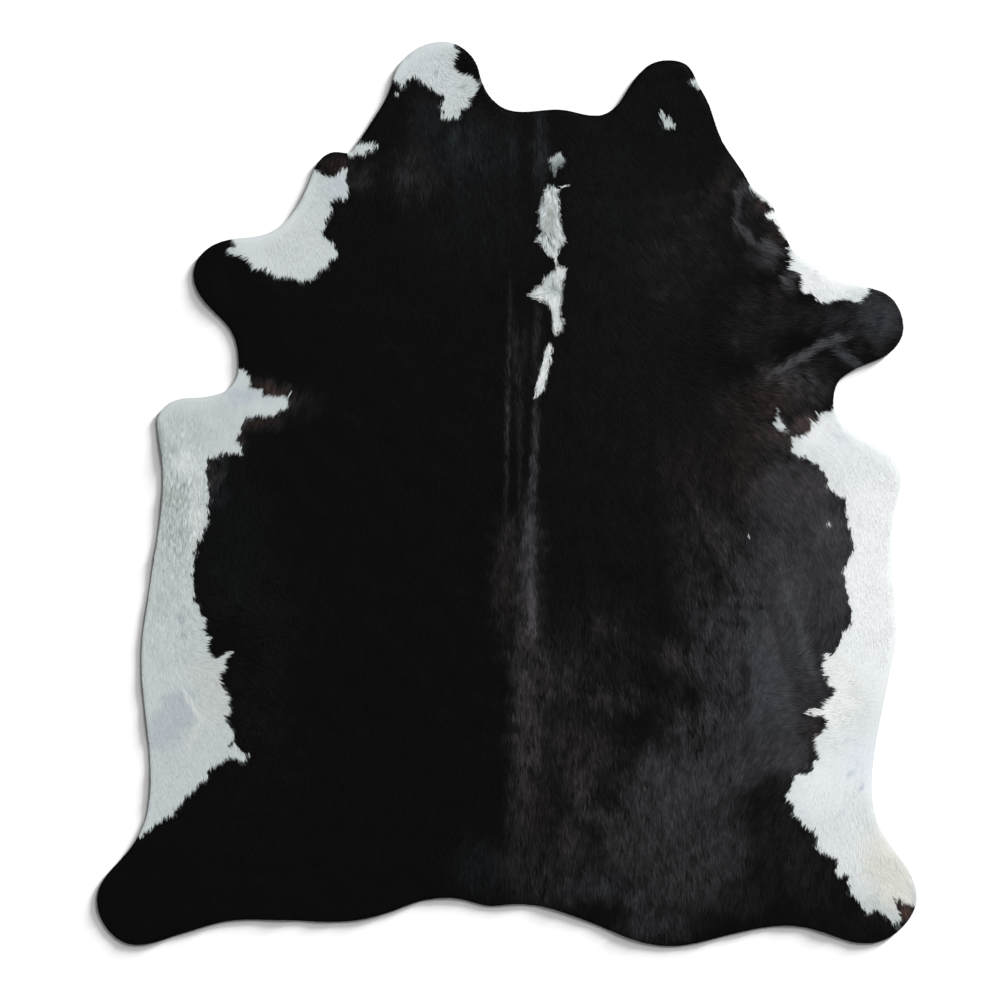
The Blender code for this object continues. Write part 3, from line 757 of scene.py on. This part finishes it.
CLOUDS = ((70.0, 0.25), (28.0, 0.25), (14.0, 0.2))     # mm and share: and in swells of these waves
LOCK_LIFT = 3.5               # degrees off the skin
LIFTS = (0.7, 1.3)            # the least and the most of that
ROOT_DEPTH = 0.2              # mm, how deep a root sits in the skin
STEEPEST = 0.25               # the steepest slope of skin that a lock follows
TIP_OVERHANG = 0.4            # mm, how far a trimmed tip may pass the cut edge
TRIM = (8, 0.8)               # a lock past the edge is cut to this share, up to so many times
FLAT_EDGE = 14.0              # mm in from the cut edge, within which the locks lie flatter
SHOWN_AT = 0.7                # the share of a lock's length where its colour shows most
BAKED_SIZE = 0.15             # a lock's size on the bake map, where each has its own spot
BANDS = ("hair_of_neck", "hair_of_shoulders", "hair_of_ribs", "hair_of_loin", "hair_of_rump")


def skin_below(places):
    """The height and slopes of the skin's hair side at each place, in mm. Off the skin the height is -1."""
    found = np.full((len(places), 3), -1.0)
    for index, (x, y) in enumerate(places * MM):
        spot, normal, _, _ = surface.ray_cast(Vector((x, y, 0.1)), Vector((0, 0, -1)))
        if spot is not None:
            found[index] = (spot.z / MM, -normal.x / normal.z, -normal.y / normal.z)
    found[:, 1:] = np.clip(found[:, 1:], -STEEPEST, STEEPEST)
    return found


def strewn(step, seed):
    """Places all over the hide's outline box, in mm, in uneven rows about step apart."""
    draw = np.random.default_rng(seed)
    low, high = grain[:, :2].min(0), grain[:, :2].max(0)
    across, along = np.meshgrid(np.arange(low[0], high[0], step),
                                np.arange(low[1], high[1], step * math.sqrt(3) / 2))
    across[1::2] += step / 2
    places = np.column_stack((across.ravel(), along.ravel()))
    return places + draw.uniform(-ROOT_JITTER, ROOT_JITTER, places.shape) * step


def nearest(places, wanted):
    """The index of the nearest of the places to each wanted one."""
    tree = KDTree(len(places))
    for index, (x, y) in enumerate(places):
        tree.insert((x, y, 0), index)
    tree.balance()
    return np.array([tree.find((x, y, 0))[1] for x, y in wanted])


def rim_gap(places):
    """How far each place is from the cut edge, in mm."""
    return np.array([rim.find((x, y, 0))[2] for x, y in places])


def unit(way):
    """Unit vectors, across and along the hide, for angles in radians."""
    return np.column_stack((np.cos(way), np.sin(way)))


surface = BVHTree.FromPolygons([vert.co for vert in skin.data.vertices],
                               [tuple(face.vertices) for face in skin.data.polygons])
draw = np.random.default_rng(7)
roots = np.zeros((0, 2))
size = np.zeros((0, 3))
for kind, seed in ((DARK, 7), (EDGE, 8), (PALE, 9)):
    more = strewn(kind.step, seed)
    within = white_gap(more, PATCHES)
    fine = (np.abs(within) < EDGE_REACH) | (rim_gap(more) < RIM_REACH)
    fine |= white_gap(more, BLAZE) > -EDGE_REACH
    more = more[{DARK: ~fine & (within < 0), EDGE: fine, PALE: ~fine & (within > 0)}[kind]]
    roots = np.vstack((roots, more))
    size = np.vstack((size, np.tile(kind[1:], (len(more), 1))))
ground = skin_below(roots)
size = size[ground[:, 0] > 0]
roots = roots[ground[:, 0] > 0]
ground = ground[ground[:, 0] > 0]

# Each tuft's locks take the tuft's colour, lean in to its middle, and are shorter at its sides.
tufts = strewn(TUFT_STEP, seed=10)
tuft_way = heading_at(tufts, COMBED)
for layer, (most, wave) in enumerate(SWAY):
    tuft_way += np.radians(most) * swell(tufts, wave, seed=31 + layer)
tuft_coat = coat_at(tufts + unit(tuft_way) * SHOWN_AT * EDGE.length)
tuft_tone = UNEVEN * draw.standard_normal(len(tufts))
tuft_tone += TUFT_STREAKS[1] * swell(tufts * COMBED_OUT, TUFT_STREAKS[0], seed=61)
own = nearest(tufts, roots)
aside = ((roots - tufts[own]) * unit(tuft_way[own] + math.pi / 2)).sum(axis=1)
tapered = np.clip(1.2 - TAPER * np.abs(aside) / TUFT_STEP, 0.6, 1.2)
size[:, 1] *= draw.uniform(*LENGTHS, len(roots)) * tapered
way = tuft_way[own] - np.arctan(GATHER * aside / size[:, 1])
way += np.radians(STRAY) * draw.standard_normal(len(roots))
heading = unit(way)

# Locks that would hang over the cut edge are trimmed, and those near it lie flatter.
edge_gap = rim_gap(roots)
near_edge = np.flatnonzero(edge_gap < DARK.length * 1.4)     # just past the reach of the longest lock
for _ in range(TRIM[0]):
    cut = size[near_edge, 1] - TIP_OVERHANG * draw.uniform(0, 1.5, len(near_edge))
    tips = roots[near_edge] + heading[near_edge] * cut[:, None]
    size[near_edge[skin_below(tips)[:, 0] < 0], 1] *= TRIM[1]
lift = np.radians(LOCK_LIFT) * draw.uniform(*LIFTS, len(roots)) * np.clip(edge_gap / FLAT_EDGE, 0.4, 1)
lift += np.arctan((ground[:, 1:] * heading).sum(axis=1))
roll = np.radians(ROLL) * draw.standard_normal(len(roots))

# A lock's tone is its own share of light and dark. The dark locks' painted sheen is uneven in the same way,
# and in broad clouds.
looks = {key: value[own] for key, value in tuft_coat.items()}
alone = np.flatnonzero(draw.uniform(0, 1, len(roots)) < LONERS)
for key, value in coat_at(roots[alone] + heading[alone] * SHOWN_AT * size[alone, 1:2]).items():
    looks[key][alone] = value
tone = UNEVEN * draw.standard_normal(len(roots)) + tuft_tone[own]
tone += STROKES[1] * swell(roots * STROKE_RUN, STROKES[0], seed=62)
cloud = MOTTLE * tone
for layer, (wave, share) in enumerate(CLOUDS):
    cloud += share * swell(roots * COMBED_OUT, wave, seed=71 + layer)
dark = looks["white"] < 0.5
looks["bloom"][dark] *= np.clip(1 + cloud * looks["streak"], 0.1, 2.2)[dark]
looks["tone"] = np.clip(tone, -2.5, 2.5) * looks.pop("streak")
turn = np.column_stack((lift, roll, way - math.pi / 2))
stand = np.column_stack((roots, ground[:, 0] - ROOT_DEPTH))


def lock_tree():
    """Lays one pointed three-sided lock on every root, by the root's own turn and growth."""
    tree = bpy.data.node_groups.new("Locks of hair", "GeometryNodeTree")
    tree.is_modifier = True
    tree.interface.new_socket("Locks", in_out="OUTPUT", socket_type="NodeSocketGeometry")
    for name, kind in (("Roots", "Geometry"), ("Corner", "Vector"), ("Span", "Float"), ("Hair", "Material")):
        tree.interface.new_socket(name, in_out="INPUT", socket_type="NodeSocket" + kind)
    given = add(tree, "NodeGroupInput").outputs

    # A three-sided cone, 1 wide and 1 long, is laid down to point forwards. grown runs from 0 at its root to
    # 1 at its tip, and side from -1 to 1 across it.
    cone = add(tree, "GeometryNodeMeshCone", {"Vertices": 3, "Side Segments": 1, "Radius Top": 0.0,
                                              "Radius Bottom": 3 ** -0.5, "Depth": 1.0}).outputs["Mesh"]
    place = add(tree, "GeometryNodeInputPosition").outputs["Position"]
    grown = add(tree, "ShaderNodeSeparateXYZ", {"Vector": place}).outputs
    lock = add(tree, "GeometryNodeStoreNamedAttribute",
               {"Geometry": cone, "Name": "grown", "Value": grown["Z"]}, domain="POINT").outputs["Geometry"]
    laid = add(tree, "GeometryNodeTransform",
               {"Geometry": lock, "Rotation": (-math.pi / 2, -math.pi / 2, 0)}).outputs["Geometry"]
    half = add(tree, "ShaderNodeMath", {0: grown["X"], 1: 2.0}, operation="MULTIPLY").outputs["Value"]
    lock = add(tree, "GeometryNodeStoreNamedAttribute", {"Geometry": laid, "Name": "side", "Value": half},
               domain="POINT").outputs["Geometry"]

    # A root's own turn and size place its lock.
    kept = {name: add(tree, "GeometryNodeInputNamedAttribute", {"Name": name},
                      data_type="FLOAT_VECTOR").outputs["Attribute"] for name in ("size", "turn", "root")}
    locks = add(tree, "GeometryNodeInstanceOnPoints", {"Points": given["Roots"], "Instance": lock,
                                                       "Rotation": kept["turn"], "Scale": kept["size"]})
    real = add(tree, "GeometryNodeRealizeInstances",
               {"Geometry": locks.outputs["Instances"]}).outputs["Geometry"]

    # The bake map looks straight down. Each lock is shrunk round its root there, clear of its neighbours.
    lean = add(tree, "ShaderNodeVectorMath", {0: place, 1: kept["root"]},
               operation="SUBTRACT").outputs["Vector"]
    own = add(tree, "ShaderNodeVectorMath", {0: lean, 1: (BAKED_SIZE, BAKED_SIZE, 0), 2: kept["root"]},
              operation="MULTIPLY_ADD").outputs["Vector"]
    from_corner = add(tree, "ShaderNodeVectorMath", {0: own, 1: given["Corner"]}, operation="SUBTRACT")
    flat = add(tree, "ShaderNodeVectorMath", {0: from_corner.outputs["Vector"], 1: given["Span"]},
               operation="DIVIDE").outputs["Vector"]
    mapped = add(tree, "GeometryNodeStoreNamedAttribute",
                 {"Geometry": real, "Name": "OFBake", "Value": flat},
                 data_type="FLOAT2", domain="CORNER").outputs["Geometry"]
    for name in kept:
        mapped = add(tree, "GeometryNodeRemoveAttribute",
                     {"Geometry": mapped, "Name": name}).outputs["Geometry"]
    done = add(tree, "GeometryNodeSetMaterial", {"Geometry": mapped, "Material": given["Hair"]})
    add(tree, "NodeGroupOutput", {"Locks": done.outputs["Geometry"]})
    return tree


def grow(name, stand, turn, size, looks, tree):
    """One lock at each place, in mm, as one plain mesh. looks is the coat's values there, by name."""
    mesh = bpy.data.meshes.new(name)
    mesh.from_pydata((stand * MM).tolist(), [], [])
    store(mesh, turn=turn, size=size * MM, root=stand * MM, **looks)
    sown = bpy.data.objects.new(name, mesh)
    bpy.context.scene.collection.objects.link(sown)
    corner = stand.min(axis=0) * MM
    span = float((stand.max(axis=0) * MM - corner).max()) + size.max() * MM
    inputs = {"Corner": corner.tolist(), "Span": span, "Hair": HAIR}
    growth = sown.modifiers.new("Growth", "NODES")
    growth.node_group = tree
    for socket in tree.interface.items_tree:
        if socket.name in inputs:
            growth[socket.identifier] = inputs[socket.name]
    return plain_mesh(sown, name)


growth_tree = lock_tree()
hair = []
for name, chosen in zip(BANDS, np.array_split(np.argsort(-roots[:, 1]), len(BANDS))):
    hair.append(grow(name, stand[chosen], turn[chosen], size[chosen],
                     {key: value[chosen] for key, value in looks.items()}, growth_tree))
for piece in hair:
    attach(piece, "root")

# ---------------------------------------------------------------------------------------------------------
# The blaze: a broken streak of white hair beside the spine. It is longer and finer than the rest of the coat,
# lies on top of it, and fans out from its own middle like a brush.

WISP = Lock(2.2, 1.5, 26.0, 0.25)    # mm: the blaze's body
SPIKE = Lock(3.0, 2.0, 17.0, 0.3)    # mm: the fine tufts that fray its edge
WISP_ROOTS = (3.0, 99.0)      # mm inside the edge, the least and the most
WISP_REACH = -3.0             # mm past the edge: the wisps end inside it
SPIKE_ROOTS = (1.0, 8.0)      # mm inside the edge, the least and the most
SPIKE_REACH = (-3.0, 7.5)     # mm past the edge, the least and the most: it varies from tuft to tuft
WISP_LENGTHS = (0.75, 1.1)    # the shortest and the longest of a kind, as a share of its length
WISP_TRIM = (14, 0.9)         # one that reaches too far is cut to this share, up to so many times
SHORTEST_WISP = 4.0           # mm
WISP_STRAY = 9.0              # degrees
WISP_ROLL = 8.0               # degrees
WISP_LIFT = 4.5               # degrees
CLUMPS = (0.6, 0.3)           # shares of a wisp's tone that are its tuft's and its own
DARK_WISPS = (-2.0, 0.1)      # less tone than this is a dark wisp: at no streak, and more for each unit
BLAZE_TINTS = (
    Tint("whole blaze", 0, 0, 9000, 9000, 0, 0.0, 0.65, 5.0),
    Tint("upper part", 108, 705, 60, 80, 0, -0.1, 0.4, 10.0),
    Tint("upper part's right side", 130, 660, 12, 50, 0, -0.1, 0.55, 7.0),
    Tint("heart of the upper part", 108, 695, 10, 40, 0, 0.4, 0.05, 7.0),
    Tint("streaks of the upper part", 98, 652, 16, 26, 25, 0.0, 0.2, 15.0),
    Tint("lower part's heart", 112, 520, 12, 18, 0, -0.1, 0.4, 2.0),
    Tint("spade", 128, 830, 30, 30, 0, 0.0, -0.5, 3.0),
)
FANNED = (
    Comb("spade's tip", 130, 856, -90),
    Comb("spade's left", 110, 836, -150),
    Comb("spade's right", 144, 829, -38),
    Comb("spade's middle", 125, 833, -92),
    Comb("spade's tail", 118, 805, -92),
    Comb("crown", 112, 772, -92),
    Comb("crown's left", 93, 760, 172),
    Comb("hook", 132, 764, 24),
    Comb("upper left", 83, 722, 172),
    Comb("upper left's middle", 80, 685, 178),
    Comb("upper left's foot", 79, 668, 185),
    Comb("upper left tuft", 73, 635, 195),
    Comb("upper middle", 108, 715, -88),
    Comb("upper middle's foot", 100, 655, -68),
    Comb("upper right", 129, 735, -55),
    Comb("upper right's middle", 133, 697, -45),
    Comb("upper right's foot", 140, 655, -38),
    Comb("upper right tuft", 145, 632, -30),
    Comb("waist's left", 103, 605, -62),
    Comb("waist's right", 132, 606, -112),
    Comb("waist", 121, 585, -88),
    Comb("lower top's right", 148, 558, 55),
    Comb("lower top", 118, 548, 100),
    Comb("lower left's upper side", 92, 535, 140),
    Comb("lower left's middle", 78, 517, 152),
    Comb("lower left spike", 58, 499, 180),
    Comb("lower left's foot", 82, 487, -160),
    Comb("lower middle", 118, 492, -90),
    Comb("lower right", 142, 515, 38),
    Comb("lower right's middle", 134, 458, 28),
    Comb("lower right tuft", 141, 422, 0),
    Comb("lower right's foot", 132, 404, -40),
    Comb("lower foot", 120, 402, -88),
    Comb("tail's top", 106, 374, -95),
    Comb("tail's right", 113, 350, -50),
    Comb("tail's right middle", 108, 320, -52),
    Comb("tail's lower right", 99, 285, -65),
    Comb("tail's middle", 92, 320, -104),
    Comb("tail's foot", 82, 275, -108),
    Comb("tail's end", 74, 248, -113),
    Comb("tail's left", 74, 272, -125),
)

draw = np.random.default_rng(42)
sown = np.zeros((0, 2))
wisp_size = np.zeros((0, 3))
reach = np.zeros(0)
for kind, seed in ((WISP, 41), (SPIKE, 45)):
    more = strewn(kind.step, seed)
    gap = white_gap(more, BLAZE)
    least, most = WISP_ROOTS if kind is WISP else SPIKE_ROOTS
    more = more[(gap > least) & (gap < most)]
    sown = np.vstack((sown, more))
    wisp_size = np.vstack((wisp_size, np.tile(kind[1:], (len(more), 1))))
    frayed = draw.uniform(0, 1, len(tufts))[nearest(tufts, more)] * draw.uniform(0.6, 1, len(more))
    far = SPIKE_REACH[0] + (SPIKE_REACH[1] - SPIKE_REACH[0]) * frayed
    reach = np.append(reach, far if kind is SPIKE else np.full(len(more), WISP_REACH))
below = skin_below(sown)
wisp_way = heading_at(sown, FANNED) + np.radians(WISP_STRAY) * draw.standard_normal(len(sown))
wisp_size[:, 1] *= draw.uniform(*WISP_LENGTHS, len(sown))
for _ in range(WISP_TRIM[0]):
    past = white_gap(sown + unit(wisp_way) * wisp_size[:, 1:2], BLAZE) < -reach
    wisp_size[past & (wisp_size[:, 1] > SHORTEST_WISP), 1] *= WISP_TRIM[1]
slopes = (below[:, 1:] * unit(wisp_way)).sum(axis=1)
wisp_lift = np.radians(WISP_LIFT) * draw.uniform(*LIFTS, len(sown)) + np.arctan(slopes)
wisp_roll = np.radians(WISP_ROLL) * draw.standard_normal(len(sown))
wisp_coat = tints_at(sown, BLAZE_TINTS)
clump = CLUMPS[0] * tuft_tone[nearest(tufts, sown)] + CLUMPS[1] * draw.standard_normal(len(sown))
clump += STROKES[1] * swell(sown * STROKE_RUN, STROKES[0], seed=63)
dark = clump < DARK_WISPS[0] + DARK_WISPS[1] * wisp_coat[:, 2]
wisp_looks = {"white": np.where(dark, 0.05, 1.0), "warm": wisp_coat[:, 0], "bloom": wisp_coat[:, 1],
              "tone": wisp_coat[:, 2] * clump}
blaze = grow("hair_of_blaze", np.column_stack((sown, below[:, 0] - ROOT_DEPTH)),
             np.column_stack((wisp_lift, wisp_roll, wisp_way - math.pi / 2)), wisp_size, wisp_looks,
             growth_tree)
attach(blaze, "root")
hair.append(blaze)

# ---------------------------------------------------------------------------------------------------------
# The studio: a matt white floor, soft light from all round, a broad lamp high on the right that lights the
# rug alone, two low ones that light the floor and throw the rug's thin shadow, and a camera straight above.

CAMERA_HEIGHT = 8.0           # m
SHOWN_WIDTH = 2.5             # m of floor across the picture
CAMERA_PLACE = (-0.017, -0.015)

# Matt white paper: even, with no gloss. The low lamps bring it up to a plain white.
FLOOR = bpy.data.materials.new("matt white studio floor")
FLOOR.use_nodes = True
tree = FLOOR.node_tree
paper = tree.nodes["Principled BSDF"]
spot = add(tree, "ShaderNodeTexCoord").outputs["Object"]
grey = add(tree, "ShaderNodeTexNoise", {"Vector": spot, "Scale": 1 / 0.5, "Detail": 2.0}).outputs["Fac"]
tint = add(tree, "ShaderNodeMapRange", {"Value": grey, "To Min": 0.297, "To Max": 0.303}).outputs["Result"]
tree.links.new(tint, paper.inputs["Base Color"])
paper.inputs["Roughness"].default_value = 0.95
paper.inputs["Specular IOR Level"].default_value = 0.0
bpy.ops.mesh.primitive_plane_add(size=40, location=(0, 0, -0.0005))
floor = bpy.context.object
floor.name = "floor"
floor.data.materials.append(FLOOR)


def sun(name, strength, softness, azimuth, elevation, lights):
    """A distant lamp that lights only the given objects. Angles in degrees, azimuth from across the rug."""
    lamp = bpy.data.lights.new(name, "SUN")
    lamp.energy = strength
    lamp.angle = math.radians(softness)
    made = bpy.data.objects.new(name, lamp)
    bpy.context.scene.collection.objects.link(made)
    across = math.cos(math.radians(elevation))
    towards = Vector((across * math.cos(math.radians(azimuth)), across * math.sin(math.radians(azimuth)),
                      math.sin(math.radians(elevation))))
    made.rotation_euler = towards.to_track_quat("Z", "Y").to_euler()
    lit = bpy.data.collections.new(name + " lights")
    for item in lights:
        lit.objects.link(item)
    made.light_linking.receiver_collection = lit


sun("high lamp", 2.8, 20, 50, 50, [skin, *hair])
sun("low lamp", 81, 8, 44, 4.6, [floor])
sun("middle lamp", 11.9, 24, 44, 17, [floor])
world = bpy.data.worlds.new("studio")
world.use_nodes = True
world.node_tree.nodes["Background"].inputs["Color"].default_value = (1, 1, 1, 1)
world.node_tree.nodes["Background"].inputs["Strength"].default_value = 0.5
bpy.context.scene.world = world
bpy.context.scene.view_settings.view_transform = "Standard"

camera = bpy.data.objects.new("camera", bpy.data.cameras.new("camera"))
camera.location = (*CAMERA_PLACE, CAMERA_HEIGHT)
camera.data.sensor_width = 36
camera.data.lens = 36 * CAMERA_HEIGHT / SHOWN_WIDTH
bpy.context.scene.collection.objects.link(camera)
bpy.context.scene.camera = camera
